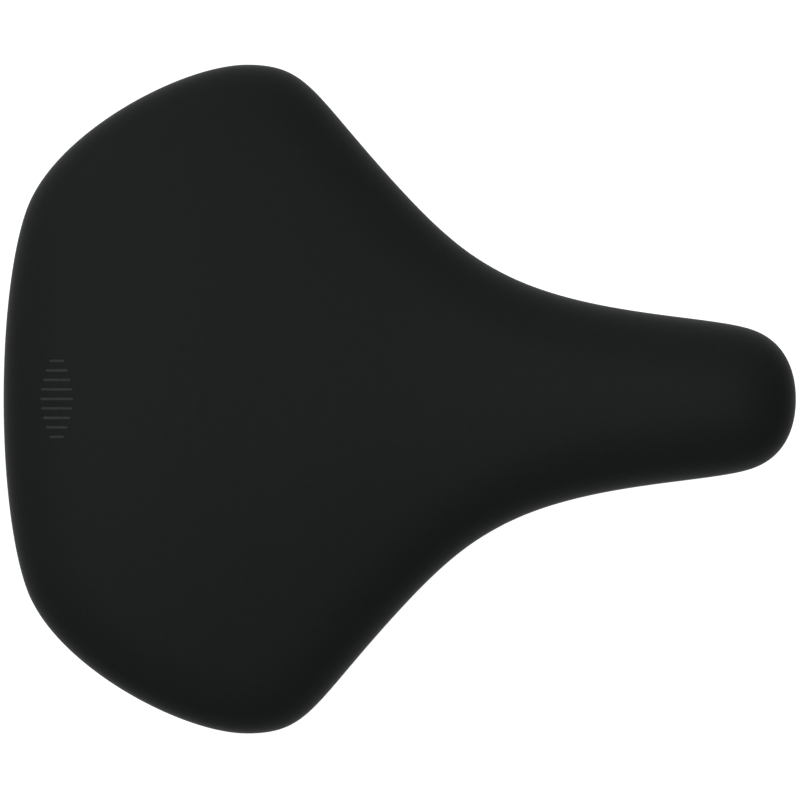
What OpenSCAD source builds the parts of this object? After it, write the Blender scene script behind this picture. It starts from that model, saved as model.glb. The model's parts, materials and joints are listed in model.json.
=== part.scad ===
// Wide relaxed-position bicycle saddle: padded gel seat on a moulded base, hinged at the nose,
// carried at the rear by two coil springs on a steel rail frame, with a clamp for a plain seatpost.
// Millimetres. +X points to the nose, +Y to the rider's left, +Z up.
// The origin is on the seatpost's axis, level with the clamp bolt.

/* [Seat] */
// Length of the seat from its rear edge to the nose tip
seat_len = 260; // [250:1:270]
// Width across the wings
seat_w = 220; // [205:1:230]
// Distance from the seatpost's axis back to the rear edge
rear_reach = 124; // [118:1:128]
// Thickness of the cover skin
skin_t = 1.4; // [1.0:0.1:1.6]
// Wall of the moulded base
base_t = 3; // [2.5:0.25:3.5]
// Greatest thickness of each gel pad
gel_t = 7; // [4:0.5:9]

/* [Rails] */
// Diameter of the rail wire
rail_d = 7; // [7:0.1:7]
// Distance between the two rails where the clamp holds them
rail_gap = 44; // [44:0.5:44]
// Length of the straight part that the clamp can slide along
rail_straight = 78; // [76:1:80]
// Height of the rails above the clamp bolt
rail_z = 11; // [10.5:0.5:12]

/* [Springs] */
// Outside diameter of each coil spring
spring_od = 36; // [32:0.5:37]
// Diameter of the spring wire
spring_wire = 4.5; // [4:0.25:5]
// Turns of each spring, its closed ends included
spring_turns = 5.25; // [4.75:0.25:5.25]
// Distance between the two springs
spring_gap = 100; // [96:1:104]

/* [Clamp] */
// Diameter of the seatpost's top
post_d = 22.2; // [22.2:0.1:22.2]
// Height of the post collar
collar_h = 40; // [36:1:44]
// Diameter of the clamp bolt
clamp_bolt_d = 8; // [8:0.1:8]
// Number of teeth on each serrated face
teeth = 36; // [24:2:40]

/* [Hidden] */

slack = 0.05;        // air left between parts that only touch
fine = 64;           // facets of a true round
hex_sides = 6;

// ---- Seat outline: smooth cubic spans through a few points.
// Each point is [share of the length, share of the half width, heading, handle behind, handle ahead].
outline_points = [
    [0, 0, 90, 0, 30],
    [0.034, 0.596, 65, 12, 26],
    [0.307, 1, 0, 20.5, 19],
    [0.478, 0.687, -48.4, 35.5, 27],
    [0.632, 0.374, -27.2, 14.5, 30.5],
    [0.944, 0.209, -18.3, 15, 12],
    [1, 0, -90, 9, 0]
];
span_steps = [7, 8, 7, 5, 8, 5];   // outline stations in each span

function heading(a) = [cos(a), sin(a)];
function outline_at(k) = [outline_points[k][0] * seat_len, outline_points[k][1] * seat_w / 2];
function span_point(k, t) = let (
    p = outline_points[k], q = outline_points[k + 1], a = outline_at(k), d = outline_at(k + 1),
    b = a + heading(p[2]) * p[4], c = d - heading(q[2]) * q[3], s = 1 - t)
    s * s * s * a + 3 * s * s * t * b + 3 * s * t * t * c + t * t * t * d;
// The left half from the rear to the nose, then the mirrored right half back.
left_half = [for (k = [0:len(span_steps) - 1]) for (i = [0:span_steps[k] - 1])
    span_point(k, i / span_steps[k])];
half_n = len(left_half);
rim = concat(left_half, [[seat_len, 0]],
    [for (i = [1:half_n - 1]) [left_half[half_n - i][0], -left_half[half_n - i][1]]]);
rim_n = len(rim);
function unit(v) = v / norm(v);
// Outward direction of the outline at each station.
rim_out = [for (i = [0:rim_n - 1]) let (
    way = unit(rim[(i + 1) % rim_n] - rim[(i + rim_n - 1) % rim_n])) [-way[1], way[0]]];
function inset_rim(i, d) = rim[i] - rim_out[i] * d;

// ---- Heights along the seat, as [share of the length, value] points joined by smooth curves.
crest_line = [[0, 82], [0.15, 84.5], [0.35, 81], [0.55, 77], [0.75, 76.5], [0.9, 77.5], [1, 75]];
lower_line = [[0, 43], [0.18, 40], [0.32, 38], [0.5, 42], [0.65, 44.5], [0.85, 43], [1, 41.5]];
base_line = [[0, 52], [0.3, 52], [0.6, 50.5], [0.8, 52], [1, 52]];
crown_line = [[0, 0.0009], [0.38, 0.0011], [0.58, 0.0026], [0.77, 0.0062], [1, 0.0085]];

function ease(t) = t * t * (3 - 2 * t);
function span_of(line, u, k = 0) = (k >= len(line) - 2 || u < line[k + 1][0]) ? k : span_of(line, u, k + 1);
function slope_at(line, k) = let (a = max(k - 1, 0), b = min(k + 1, len(line) - 1))
    (line[b][1] - line[a][1]) / (line[b][0] - line[a][0]);
function along(line, x) = let (
    u = min(max(x / seat_len, 0), 1), k = span_of(line, u), w = line[k + 1][0] - line[k][0],
    t = (u - line[k][0]) / w, m0 = slope_at(line, k) * w, m1 = slope_at(line, k + 1) * w)
    line[k][1] * (1 - ease(t)) + line[k + 1][1] * ease(t)
    + m0 * t * (1 - t) * (1 - t) - m1 * t * t * (1 - t);

function segment_distance(p, a, b) = let (
    way = b - a, t = min(max((p - a) * way / (way * way), 0), 1)) norm(p - a - way * t);
function rim_distance(p) = min([for (i = [0:rim_n - 1])
    segment_distance(p, rim[i], rim[(i + 1) % rim_n])]);

edge_round = 22;     // how far in from the rim the top starts to fall
edge_drop = 17;      // how far it falls
function shoulder(d, reach) = let (q = min(max(1 - d / reach, 0), 1)) 1 - sqrt(max(1 - pow(q, 2.6), 0));
function crest(p) = along(crest_line, p[0]) - along(crown_line, p[0]) * p[1] * p[1];
function top_z(p, d) = crest(p) - edge_drop * shoulder(d, edge_round);
base_round = 11;     // width of the curve from the base's side wall into its pan
base_ledge = 2.2;    // flat stretch just inside the wall, over the cover's hem
base_rise = 8.5;     // height of the wall
function base_z(p, d) = let (pan = along(base_line, p[0]) - along(crown_line, p[0]) * p[1] * p[1] / 2,
    wall = along(lower_line, p[0]) + base_rise) pan + (wall - pan) * shoulder(d - base_ledge, base_round);

// ---- Rings of points from the spine out to the rim.
spine_rear = 0.25;
spine_front = 0.9;
function spine(i) = [seat_len * (spine_rear + (spine_front - spine_rear) * rim[i][0] / seat_len), 0];
shares = [0.05, 0.3, 0.52, 0.7, 0.82, 0.91, 0.97, 1];
function ring_point(i, share, inset) = spine(i) + (inset_rim(i, inset) - spine(i)) * share;

function placed(p, z) = [p[0] - rear_reach, p[1], z];
function outer_top(share) = [for (i = [0:rim_n - 1]) let (p = ring_point(i, share, 0))
    placed(p, top_z(p, share == 1 ? 0 : rim_distance(p)))];
// A ring of the side: inset from the rim, and down by a share of the way to the lower line, plus a lift.
function skirt_ring(inset, down, lift) = [for (i = [0:rim_n - 1]) let (
    low = along(lower_line, rim[i][0]), high = top_z(rim[i], 0))
    placed(inset_rim(i, inset), high + (low - high) * down + lift)];

turn_in = 4;         // height of the cover's flange inside the rim
outer_rings = concat([for (s = shares) outer_top(s)],
    [skirt_ring(0.6, 0.35, 0), skirt_ring(2.2, 0.72, 0), skirt_ring(4.2, 0.94, 0), skirt_ring(6, 1, 0),
     skirt_ring(9, 1, 0), skirt_ring(10.6, 1, 1.3), skirt_ring(10.9, 1, turn_in)]);
inner_skirt = [skirt_ring(0.6 + skin_t, 0.35, 0), skirt_ring(2.1 + skin_t, 0.72, 0.4),
    skirt_ring(3.8 + skin_t, 0.94, 0.8), skirt_ring(7.3, 1, skin_t), skirt_ring(9, 1, skin_t),
    skirt_ring(9.42, 1, skin_t), skirt_ring(9.5, 1, turn_in)];
function normal_at(rings, j, i) = let (
    round_way = rings[j][(i + 1) % rim_n] - rings[j][(i + rim_n - 1) % rim_n],
    out_way = rings[min(j + 1, len(rings) - 1)][i] - rings[max(j - 1, 0)][i])
    unit(cross(round_way, out_way));
function sunk(rings, j, depth) = [for (i = [0:rim_n - 1]) rings[j][i] - normal_at(rings, j, i) * depth];
inner_rings = concat([for (j = [0:len(shares) - 1]) sunk(outer_rings, j, skin_t)], inner_skirt);

// Gel pads take the place of foam between these stations and rings of the grid.
gel_first = 6;
gel_last = 22;
gel_in = 1;
gel_out = 5;
function gel_swell(j, i) = sin(180 * (j - gel_in) / (gel_out - gel_in))
    * pow(sin(180 * (i - gel_first) / (gel_last - gel_first)), 0.6);
function gel_depth(j, i) = (j > gel_in && j < gel_out && i > gel_first && i < gel_last)
    ? gel_t * gel_swell(j, i) : 0;
function both_sides(i) = min(i, rim_n - i);
foam_side_rings = 4;
foam_top = [for (j = [0:len(shares) + foam_side_rings - 1]) [for (i = [0:rim_n - 1])
    inner_rings[j][i] - [0, 0, gel_depth(j, both_sides(i))]]];

base_out = 7.4;      // the base's outer wall, in from the rim
base_in = 9.36;      // and its inner wall
base_foot = skin_t + slack;
function base_ring(share, inset, drop) = [for (i = [0:rim_n - 1]) let (p = ring_point(i, share, inset))
    placed(p, base_z(p, share == 1 ? 0 : rim_distance(p) - inset) - drop)];
base_top = [for (s = shares) base_ring(s, base_out, 0)];
base_under = [for (s = shares) base_ring(s, base_in, base_t)];

// ---- Closed solids from rings.
// The cap inside the first ring joins mirrored stations; a band joins one ring to the next.
function cap_pair(o, i) = [[o + i, o + i + 1, o + rim_n - i], [o + i + 1, o + rim_n - i - 1, o + rim_n - i]];
function cap_all(o) = concat([[o, o + 1, o + rim_n - 1]], [for (i = [1:half_n - 1]) each cap_pair(o, i)]);
// The last triangle at the nose would have no area, so it is left out.
function cap_faces(o) = [for (f = cap_all(o)) if (f[0] != f[1] && f[1] != f[2] && f[0] != f[2]) f];
// The two sides of the seat are split along mirrored diagonals.
function band_faces(a, b) = [for (i = [0:rim_n - 1]) let (k = (i + 1) % rim_n) each i < half_n
    ? [[a + i, b + i, b + k], [a + i, b + k, a + k]] : [[a + i, b + i, a + k], [a + k, b + i, b + k]]];
function flipped(faces) = [for (f = faces) [f[2], f[1], f[0]]];
function stack_faces(first, count) = [for (j = [first:first + count - 2])
    each band_faces(j * rim_n, (j + 1) * rim_n)];
// A solid between two stacks of rings, the first above or outside the second.
module shell(over, under) {
    a = len(over);
    b = len(under);
    points = concat([for (r = over) each r], [for (r = under) each r]);
    outside = concat(cap_faces(0), stack_faces(0, a));
    inside = flipped(concat(cap_faces(a * rim_n), stack_faces(a, b)));
    edge = band_faces((a - 1) * rim_n, (a + b - 1) * rim_n);
    polyhedron(points = points, faces = concat(outside, inside, edge), convexity = 6);
}

module cover() color([0.07, 0.075, 0.075]) shell(outer_rings, inner_rings);

module foam_pad() color([0.8, 0.76, 0.62])
    shell(foam_top, concat(base_top, [skirt_ring(base_out, 1, base_foot)]));

module base_body() shell(concat(base_top, [skirt_ring(base_out, 1, base_foot)]),
    concat(base_under, [skirt_ring(base_in, 1, base_foot)]));

module gel_pad(side) {
    rows = gel_out - gel_in;
    cols = gel_last - gel_first;
    function at(i) = side > 0 ? i : rim_n - i;
    lid = [for (j = [gel_in:gel_out]) for (i = [gel_first:gel_last]) inner_rings[j][at(i)]];
    floor_points = [for (j = [gel_in:gel_out]) for (i = [gel_first:gel_last]) foam_top[j][at(i)]];
    n = len(lid);
    // Lid and floor share their border points.
    function edge(r, c) = r == 0 || r == rows || c == 0 || c == cols;
    function low(r, c) = (edge(r, c) ? 0 : n) + r * (cols + 1) + c;
    function high(r, c) = r * (cols + 1) + c;
    // Each cell is split into two triangles, and those with all three corners on the border are left out.
    cells = [for (r = [0:rows - 1]) for (c = [0:cols - 1]) each
        [[[r, c], [r, c + 1], [r + 1, c + 1]], [[r, c], [r + 1, c + 1], [r + 1, c]]]];
    function on_edge(f) = edge(f[0][0], f[0][1]) && edge(f[1][0], f[1][1]) && edge(f[2][0], f[2][1]);
    kept = [for (f = cells) if (!on_edge(f)) f];
    upper = [for (f = kept) [for (v = f) high(v[0], v[1])]];
    lower = [for (f = kept) [for (v = f) low(v[0], v[1])]];
    solid = concat(upper, flipped(lower));
    faces = side > 0 ? flipped(solid) : solid;
    color([0.35, 0.6, 0.75]) polyhedron(points = concat(lid, floor_points), faces = faces, convexity = 4);
}

// ---- Where the springs and the nose hinge stand.
spring_x = -88;
pivot_x = 104;
pivot_z = 36;
cup_seat_z = 42.5;          // underside of the base's spring bosses
bridge_z = -6;              // top of the rear bridge
bridge_t = 3;
cup_flange = 2.5;
spring_low = bridge_z + cup_flange;
spring_high = cup_seat_z - cup_flange;
cup_r = spring_od / 2 + 0.5;
cup_boss_r = spring_od / 2 - spring_wire - 0.7;
pad_z = 45.5;               // underside of the base's nose pad
bracket_t = 2.5;
bracket_w = 24;
bracket_x = [83, 116];
screw_places = [[88, 6.5], [88, -6.5], [111.5, 5.5], [111.5, -5.5]];
screw_r = 2;
screw_head_r = 3.6;
screw_head_h = 2.2;
screw_long = 6;

module at_springs() for (side = [1, -1]) translate([spring_x, side * spring_gap / 2, 0]) children();
// A round bar along Y, from y0 to y1.
module across(x, z, y0, y1, r, sides = fine)
    translate([x, y0, z]) rotate([-90, 0, 0]) cylinder(r = r, h = y1 - y0, $fn = sides);
// An upright round hole or bar at each bracket screw.
module at_screws(z) for (s = screw_places) translate([s[0], s[1], z]) children();

m6_r = 3;
m6_hex_r = 5.5;
nut_slack = 0.02;
boss_r = 18.5;
boss_h = 6;
module base_shell() color([0.1, 0.1, 0.11]) difference() {
    union() {
        base_body();
        at_springs() translate([0, 0, cup_seat_z]) cylinder(r = boss_r, h = boss_h, $fn = fine);
        translate([bracket_x[0], -bracket_w / 2, pad_z]) cube([bracket_x[1] - bracket_x[0], bracket_w, 4]);
    }
    at_springs() translate([0, 0, cup_seat_z - 1]) cylinder(r = m6_r + slack, h = boss_h, $fn = fine);
    at_screws(pad_z - 1) cylinder(r = screw_r + slack, h = 5, $fn = fine);
}

staple = [8, 0.5, 1.1];   // length, thickness and width
staple_rise = 2.3;   // height of the staples above the cover's lowest edge
module cover_staples() color([0.75, 0.75, 0.77]) for (i = [1:2:rim_n - 1]) {
    a = inset_rim(i, 10.95 + staple[1] / 2);
    b = inset_rim((i + 1) % rim_n, 10.95 + staple[1] / 2);
    middle = (a + b) / 2;
    d = b - a;
    low = along(lower_line, middle[0]);
    if (norm(d) > staple[0] * 0.55)
        translate([middle[0] - rear_reach, middle[1], low + staple_rise]) rotate([0, 0, atan2(d[1], d[0])])
            cube([min(staple[0], norm(d) - 1.5), staple[1], staple[2]], center = true);
}

// ---- Nose hinge.
ear_r = 8;
ear_y = [9.5, 12];
module nose_bracket() color([0.2, 0.2, 0.21]) difference() {
    union() {
        translate([bracket_x[0], -bracket_w / 2, pad_z - bracket_t])
            cube([bracket_x[1] - bracket_x[0], bracket_w, bracket_t - slack]);
        for (side = [0, 1]) mirror([0, side, 0]) {
            across(pivot_x, pivot_z, ear_y[0], ear_y[1], ear_r);
            translate([pivot_x - ear_r, ear_y[0], pivot_z])
                cube([2 * ear_r, ear_y[1] - ear_y[0], pad_z - bracket_t - pivot_z + 0.5]);
        }
    }
    across(pivot_x, pivot_z, -20, 20, m6_r + slack);
    at_screws(pad_z - 5) cylinder(r = screw_r + slack, h = 8, $fn = fine);
}
screw_head_z = pad_z - bracket_t - slack;
module nose_bracket_screws() color([0.6, 0.6, 0.62]) at_screws(screw_head_z) {
    translate([0, 0, -screw_head_h]) cylinder(r = screw_head_r, h = screw_head_h, $fn = fine);
    translate([0, 0, -0.2]) cylinder(r = screw_r, h = screw_long, $fn = fine);
}
pivot_end = 17.5;
head_h = 4;
module pivot_bolt() color([0.6, 0.6, 0.62]) {
    across(pivot_x, pivot_z, -ear_y[1] - 1, pivot_end, m6_r);
    across(pivot_x, pivot_z, -ear_y[1] - slack - head_h, -ear_y[1] - slack, m6_hex_r, hex_sides);
}
module pivot_nut() color([0.6, 0.6, 0.62]) difference() {
    across(pivot_x, pivot_z, ear_y[1] + slack, ear_y[1] + slack + head_h, m6_hex_r, hex_sides);
    across(pivot_x, pivot_z, 0, 30, m6_r + nut_slack);
}
sleeve_r = 6;
sleeve_half = 8.5;
bush_r = 4.5;
bush_bore = m6_r + 0.06;
module nose_sleeve() color([0.12, 0.12, 0.13]) difference() {
    across(pivot_x, pivot_z, -sleeve_half, sleeve_half, sleeve_r);
    across(pivot_x, pivot_z, -20, 20, bush_r + nut_slack);
}
module pivot_bush(side) color([0.85, 0.83, 0.75]) mirror([0, side > 0 ? 0 : 1, 0]) difference() {
    union() {
        across(pivot_x, pivot_z, 0.5, sleeve_half + 0.5, bush_r);
        across(pivot_x, pivot_z, sleeve_half + slack / 2, ear_y[0] - slack, sleeve_r);
    }
    across(pivot_x, pivot_z, -20, 20, bush_bore);
}

// Faces of a closed tube made of rings of points.
function tube_faces(rings, sides) = let (last = rings * sides) concat(
    [for (k = [0:rings - 1]) for (s = [0:sides - 1]) let (a = k * sides + s, b = k * sides + (s + 1) % sides)
        each [[a, b, b + sides], [a, b + sides, a + sides]]],
    [for (s = [1:sides - 2]) each [[0, s + 1, s], [last, last + s, last + s + 1]]]);

// ---- Springs and their seats.
coil_steps = 24;            // rings in each turn
coil_sides = 8;
coil_r = (spring_od - spring_wire) / 2;
closed_pitch = spring_wire * 1.02;
function coil_height(t) = let (
    open = spring_high - spring_low - spring_wire - 2 * closed_pitch, turns = spring_turns - 2)
    t < 1 ? t * closed_pitch
    : t > spring_turns - 1 ? closed_pitch + open + (t - spring_turns + 1) * closed_pitch
    : closed_pitch + open * ((t - 1) / turns + sin(360 * (t - 1) / turns) * -0.04);
module coil(hand) {
    rings = ceil(spring_turns * coil_steps);
    function ring(k) = let (
        t = spring_turns * k / rings, a = 360 * t * hand, out = [cos(a), sin(a), 0],
        centre = out * coil_r + [0, 0, spring_low + spring_wire / 2 + coil_height(t)])
        [for (s = [0:coil_sides - 1]) let (b = 360 * (s + 0.5) / coil_sides)
            centre + (out * cos(b) + [0, 0, 1] * sin(b)) * spring_wire / 2];
    points = [for (k = [0:rings]) each ring(k)];
    faces = tube_faces(rings, coil_sides);
    polyhedron(points = points, faces = hand > 0 ? faces : flipped(faces), convexity = 8);
}
module spring(side) color([0.15, 0.15, 0.16]) translate([spring_x, side * spring_gap / 2, 0]) coil(side);

cup_boss_h = 5.5;
module cup_body() difference() {
    union() {
        translate([0, 0, slack]) cylinder(r = cup_r, h = cup_flange - 2 * slack, $fn = fine);
        translate([0, 0, slack]) cylinder(r = cup_boss_r, h = cup_flange + cup_boss_h, $fn = fine);
    }
    translate([0, 0, -1]) cylinder(r = m6_r + slack, h = 20, $fn = fine);
}
module spring_cup(side, seat, up) color([0.13, 0.13, 0.14])
    translate([spring_x, side * spring_gap / 2, seat]) mirror([0, 0, up ? 0 : 1]) cup_body();
module lower_spring_cup(side) spring_cup(side, bridge_z, true);
module upper_spring_cup(side) spring_cup(side, cup_seat_z, false);
cup_h = cup_flange + cup_boss_h + slack;
m6_nut_h = 4.5;
module upper_spring_bolts() color([0.6, 0.6, 0.62]) at_springs() translate([0, 0, cup_seat_z - cup_h]) {
    translate([0, 0, -head_h - slack]) cylinder(r = m6_hex_r, h = head_h, $fn = hex_sides);
    translate([0, 0, -1]) cylinder(r = m6_r, h = cup_h + boss_h - 1, $fn = fine);
}
module lower_spring_bolts() color([0.6, 0.6, 0.62]) at_springs() {
    translate([0, 0, bridge_z - bridge_t - head_h - slack])
        cylinder(r = m6_hex_r, h = head_h, $fn = hex_sides);
    translate([0, 0, bridge_z - bridge_t - 1]) cylinder(r = m6_r, h = bridge_t + cup_h + 7, $fn = fine);
}
module lower_spring_nuts() color([0.6, 0.6, 0.62])
    at_springs() translate([0, 0, bridge_z + cup_h + slack]) difference() {
        cylinder(r = m6_hex_r, h = m6_nut_h, $fn = hex_sides);
        translate([0, 0, -1]) cylinder(r = m6_r + nut_slack, h = m6_nut_h + 2, $fn = fine);
    }

// ---- Rail frame.
rail_r = rail_d / 2;
bolt_x = -24;
straight_rear = bolt_x - rail_straight / 2;
straight_front = bolt_x + rail_straight / 2;
rail_y = rail_gap / 2;
wire_low_z = bridge_z - bridge_t - rail_r;
bend_r = 13;
lap = 1;             // how far each bent end starts inside the straight
rear_route = [[straight_rear + lap, rail_y, rail_z], [straight_rear - 3, rail_y, rail_z],
    [straight_rear - 18, rail_y, wire_low_z], [straight_rear - 43, rail_y, wire_low_z]];
front_route = [[straight_front - lap, rail_y, rail_z], [straight_front + 4, rail_y, rail_z],
    [88, 5.4, 33.2], [100, 4.6, 35.6]];
bend_steps = 5;      // straight pieces in each bend
function corner(a, b, c, big) = let (
    u = unit(b - a), v = unit(c - b), turn = acos(u * v), n = unit(cross(u, v)), x = cross(u, n),
    centre = b - u * big * tan(turn / 2) - x * big)
    [for (i = [0:bend_steps]) let (a = turn * i / bend_steps) centre + x * big * cos(a) + u * big * sin(a)];
// Each corner takes its own bend radius.
function rounded(p, bends) = concat([p[0]],
    [for (i = [1:len(p) - 2]) each corner(p[i - 1], p[i], p[i + 1], bends[i - 1])], [p[len(p) - 1]]);
wire_sides = 16;
module swept(path, r) {
    n = len(path);
    function ring(k) = let (t = unit(path[min(k + 1, n - 1)] - path[max(k - 1, 0)]),
        side = unit([0, 1, 0] - t * t[1]), up = cross(t, side))
        [for (s = [0:wire_sides - 1]) let (a = 360 * (s + 0.5) / wire_sides)
            path[k] + (side * cos(a) + up * sin(a)) * r];
    points = [for (k = [0:n - 1]) each ring(k)];
    polyhedron(points = points, faces = flipped(tube_faces(n - 1, wire_sides)), convexity = 6);
}
// A round bar along X on the rail's own line.
module along_rail(x, long, r)
    translate([x, rail_y, rail_z]) rotate([0, 90, 0]) cylinder(r = r, h = long, $fn = fine);
module rail(side) color([0.12, 0.12, 0.13]) mirror([0, side > 0 ? 0 : 1, 0]) {
    along_rail(straight_rear, rail_straight, rail_r);
    swept(rounded(rear_route, [5, 9]), rail_r - 0.01);
    difference() {
        swept(rounded(front_route, [bend_r, bend_r]), rail_r - 0.01);
        across(pivot_x, pivot_z, -20, 20, sleeve_r);
    }
}
bridge_pad_r = 20;
bridge_band = [-102, -87];   // rear and front edges of the plate between its two pads
module rear_bridge() color([0.12, 0.12, 0.13]) translate([0, 0, bridge_z - bridge_t])
    linear_extrude(bridge_t) difference() {
        union() {
            at_springs() circle(r = bridge_pad_r, $fn = fine);
            translate([bridge_band[0], -spring_gap / 2])
                square([bridge_band[1] - bridge_band[0], spring_gap]);
        }
        at_springs() circle(r = m6_r + slack, $fn = fine);
    }

// ---- Seatpost clamp.
post_r = post_d / 2;
collar_r = post_r + 2.5;
collar_top = 12;
lug_r = 14;
lug_y = 13.2;
tooth_h = 0.8;
split = 3;
clamp_r = clamp_bolt_d / 2;
tooth_in = 8.5;
// A ring of radial teeth standing on the plane y = 0 and pointing along +Y.
module tooth_ring(r) difference() {
    rotate([-90, 0, 0]) cylinder(r = r, h = tooth_h, $fn = fine);
    across(0, 0, -1, tooth_h + 1, tooth_in);
    for (i = [0:teeth / 2 - 1]) rotate([0, 360 * i / teeth, 0]) translate([-r - 1, tooth_h + 0.35, 0])
        rotate([0, 90, 0]) rotate([0, 0, 45]) translate([-0.8, -0.8, 0]) cube([1.6, 1.6, 2 * r + 2]);
}
module post_collar() color([0.55, 0.55, 0.57]) difference() {
    union() {
        translate([0, 0, collar_top - collar_h]) cylinder(r = collar_r, h = collar_h, $fn = fine);
        across(bolt_x, 0, -lug_y, lug_y, lug_r);
        translate([bolt_x, -11, -lug_r]) cube([-bolt_x - 4, 22, collar_top + lug_r]);
        for (side = [0, 1]) mirror([0, side, 0]) translate([bolt_x, lug_y - 0.01, 0]) tooth_ring(lug_r);
    }
    translate([0, 0, collar_top - collar_h - 1]) cylinder(r = post_r, h = collar_h + 2, $fn = fine);
    translate([bolt_x - lug_r - 1, -split / 2, -40]) cube([lug_r + 1 - bolt_x - 6, split, 80]);
    across(bolt_x, 0, -30, 30, clamp_r + slack);
}

cup_half = 17;
cup_face = lug_y + 2 * tooth_h + 0.1;
rail_bite = 0.15;    // half the gap left between the two cups
rail_groove_r = rail_r + slack;
module cup_plate(y0, y1) difference() {
    union() {
        across(bolt_x, 0, y0, y1, lug_r);
        translate([bolt_x - cup_half, y0, rail_z - 7]) cube([2 * cup_half, y1 - y0, 12.5]);
    }
    across(bolt_x, 0, y0 - 5, y1 + 5, clamp_r + slack);
    along_rail(bolt_x - 30, 60, rail_groove_r);
}
module inner_rail_cup(side) color([0.5, 0.5, 0.52]) mirror([0, side > 0 ? 0 : 1, 0]) {
    cup_plate(cup_face, rail_y - rail_bite);
    translate([bolt_x, cup_face + 0.01, 0]) mirror([0, 1, 0]) tooth_ring(lug_r);
}
outer_face = rail_y + 6;
module outer_rail_cup(side) color([0.5, 0.5, 0.52]) mirror([0, side > 0 ? 0 : 1, 0])
    cup_plate(rail_y + rail_bite, outer_face);
washer_t = 1.6;
m8_hex_r = 7.5;
m8_head_h = 5.5;
m8_nut_h = 6.5;
bolt_tail = 11;      // how far the clamp bolt runs on past its washer
washer_r = 8.4;
module clamp_washers() color([0.7, 0.7, 0.72]) for (side = [0, 1]) mirror([0, side, 0]) difference() {
    across(bolt_x, 0, outer_face + slack, outer_face + washer_t, washer_r);
    across(bolt_x, 0, 0, 50, clamp_r + slack);
}
head_y = outer_face + washer_t + slack;
module clamp_bolt() color([0.7, 0.7, 0.72]) {
    across(bolt_x, 0, -head_y - 1, head_y + bolt_tail, clamp_r);
    across(bolt_x, 0, -head_y - m8_head_h, -head_y, m8_hex_r, hex_sides);
}
module clamp_nut() color([0.7, 0.7, 0.72]) difference() {
    across(bolt_x, 0, head_y, head_y + m8_nut_h, m8_hex_r, hex_sides);
    across(bolt_x, 0, 0, 60, clamp_r + nut_slack);
}

cover();
foam_pad();
gel_pad(1);  // gel_pad_left
gel_pad(-1);  // gel_pad_right
base_shell();
cover_staples();
nose_bracket();
nose_bracket_screws();
pivot_bolt();
pivot_nut();
upper_spring_cup(1);  // upper_spring_cup_left
upper_spring_cup(-1);  // upper_spring_cup_right
upper_spring_bolts();
rail(1);  // rail_left
rail(-1);  // rail_right
nose_sleeve();
pivot_bush(1);  // pivot_bush_left
pivot_bush(-1);  // pivot_bush_right
rear_bridge();
lower_spring_cup(1);  // lower_spring_cup_left
lower_spring_cup(-1);  // lower_spring_cup_right
lower_spring_bolts();
lower_spring_nuts();
spring(1);  // spring_left
spring(-1);  // spring_right
inner_rail_cup(1);  // inner_rail_cup_left
inner_rail_cup(-1);  // inner_rail_cup_right
outer_rail_cup(1);  // outer_rail_cup_left
outer_rail_cup(-1);  // outer_rail_cup_right
clamp_bolt();
clamp_nut();
clamp_washers();
post_collar();
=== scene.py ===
import json
from math import acos, ceil, cos, pi, radians, sin, tan

import bmesh
import bpy
import numpy as np
from mathutils import Matrix, Vector
from mathutils.bvhtree import BVHTree

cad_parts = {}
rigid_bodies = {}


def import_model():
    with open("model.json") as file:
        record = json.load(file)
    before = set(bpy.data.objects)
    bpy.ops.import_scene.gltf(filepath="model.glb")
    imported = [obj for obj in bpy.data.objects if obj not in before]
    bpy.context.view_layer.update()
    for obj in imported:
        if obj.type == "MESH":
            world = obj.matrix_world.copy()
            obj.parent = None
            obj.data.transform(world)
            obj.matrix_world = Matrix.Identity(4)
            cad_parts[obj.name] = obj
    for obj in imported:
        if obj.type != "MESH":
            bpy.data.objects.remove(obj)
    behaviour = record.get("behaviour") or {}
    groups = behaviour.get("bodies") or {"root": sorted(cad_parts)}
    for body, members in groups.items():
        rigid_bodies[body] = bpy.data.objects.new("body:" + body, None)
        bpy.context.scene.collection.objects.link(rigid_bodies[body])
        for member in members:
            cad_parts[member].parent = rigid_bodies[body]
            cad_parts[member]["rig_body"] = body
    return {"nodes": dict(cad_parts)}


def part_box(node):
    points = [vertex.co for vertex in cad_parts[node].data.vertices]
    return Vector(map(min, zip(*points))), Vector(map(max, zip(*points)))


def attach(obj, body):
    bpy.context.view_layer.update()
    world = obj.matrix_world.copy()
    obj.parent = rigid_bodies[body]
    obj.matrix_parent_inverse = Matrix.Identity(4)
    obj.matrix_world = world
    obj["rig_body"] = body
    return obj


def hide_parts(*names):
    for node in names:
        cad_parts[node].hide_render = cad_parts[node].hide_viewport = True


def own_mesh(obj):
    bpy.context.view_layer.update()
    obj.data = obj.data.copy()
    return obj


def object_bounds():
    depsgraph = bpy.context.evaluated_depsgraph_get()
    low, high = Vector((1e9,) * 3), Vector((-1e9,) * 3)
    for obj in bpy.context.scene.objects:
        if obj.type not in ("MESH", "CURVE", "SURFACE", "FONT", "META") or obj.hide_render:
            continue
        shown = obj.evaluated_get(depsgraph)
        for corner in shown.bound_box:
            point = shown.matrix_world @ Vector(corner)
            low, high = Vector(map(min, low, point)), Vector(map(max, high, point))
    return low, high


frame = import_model()
cad_low, cad_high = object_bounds()
nodes = frame["nodes"]

# ---------------------------------------------------------------------------
# Measures, in metres, in the CAD's frame: +X to the nose, +Y left, +Z up
# ---------------------------------------------------------------------------

seat_low, seat_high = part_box("cover")
REAR = seat_low.x
SEAT_LEN = seat_high.x - seat_low.x
HALF_W = seat_high.y
SKIN = 0.0014

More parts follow.
